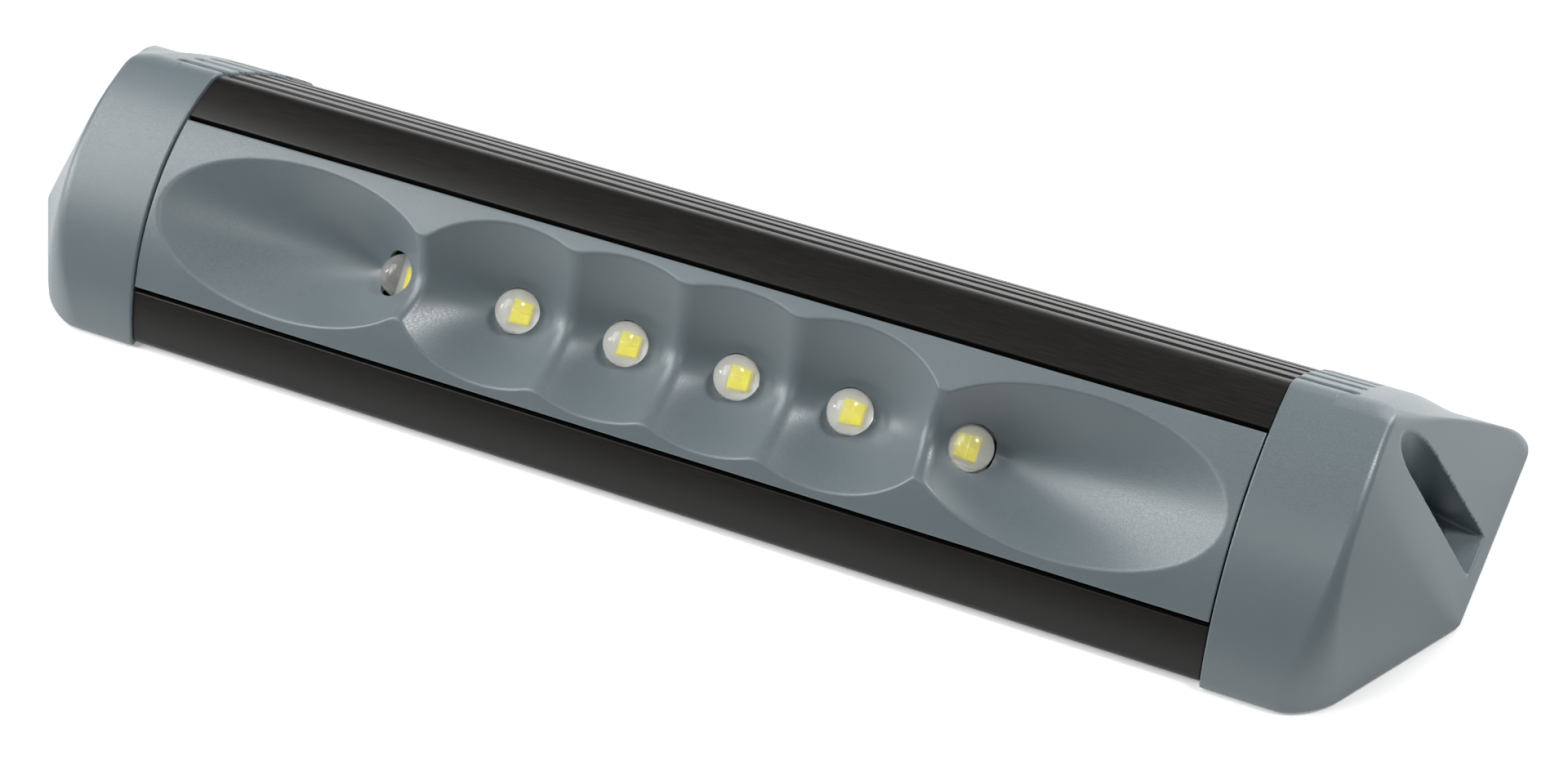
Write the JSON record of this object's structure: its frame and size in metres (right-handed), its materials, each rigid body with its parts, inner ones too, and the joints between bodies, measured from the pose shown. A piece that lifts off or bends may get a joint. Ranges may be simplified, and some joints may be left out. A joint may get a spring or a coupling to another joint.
{
  "type": "led light bar",
  "caption": "Surface-mounted LED light bar with a dished grey reflector panel in a black ribbed aluminium body, closed by faceted grey end caps with open screw pockets.",
  "frame": {"origin": "middle of the mounting face", "axes": "+X along the bar, +Y towards the ribbed side, +Z out of the mounting face, which lies at Z = 0"},
  "size_m": [0.3236, 0.079, 0.0336],
  "materials": {
    "slate_plastic": "fine satin texture",
    "black_anodised_aluminium": "satin anodised, black",
    "plain_aluminium": "satin",
    "black_rubber": "matte",
    "clear_silicone": "clear, smooth",
    "yellow_phosphor": "matte",
    "white_ceramic": "satin",
    "white_board": "satin solder mask",
    "green_board": "satin solder mask",
    "black_plastic": "satin",
    "green_plastic": "satin",
    "copper_winding": "enamelled copper wire",
    "zinc_steel": "zinc plated"
  },
  "bodies": {
    "root": {"body_extrusion": "black_anodised_aluminium", "cable_grommet": "black_rubber", "cap_gasket_left": "black_rubber", "cap_gasket_right": "black_rubber", "cap_screw_left": "zinc_steel", "cap_screw_right": "zinc_steel", "driver_board": "green_board", "driver_capacitor_1": "plain_aluminium", "driver_capacitor_2": "plain_aluminium", "driver_controller": "black_plastic", "driver_inductor": "copper_winding", "driver_tray": "black_plastic", "end_cap_left": "slate_plastic", "end_cap_right": "slate_plastic", "heat_spreader": "plain_aluminium", "led_base_1": "white_ceramic", "led_base_2": "white_ceramic", "led_base_3": "white_ceramic", "led_base_4": "white_ceramic", "led_base_5": "white_ceramic", "led_base_6": "white_ceramic", "led_board_centre": "white_board", "led_board_left": "white_board", "led_board_right": "white_board", "led_chip_1": "yellow_phosphor", "led_chip_2": "yellow_phosphor", "led_chip_3": "yellow_phosphor", "led_chip_4": "yellow_phosphor", "led_chip_5": "yellow_phosphor", "led_chip_6": "yellow_phosphor", "led_lens_1": "clear_silicone", "led_lens_2": "clear_silicone", "led_lens_3": "clear_silicone", "led_lens_4": "clear_silicone", "led_lens_5": "clear_silicone", "led_lens_6": "clear_silicone", "led_wedge_left": "plain_aluminium", "led_wedge_right": "plain_aluminium", "panel_seal_lower": "black_rubber", "panel_seal_upper": "black_rubber", "reflector_panel": "slate_plastic", "supply_terminal": "green_plastic"}
  },
  "joints": []
}
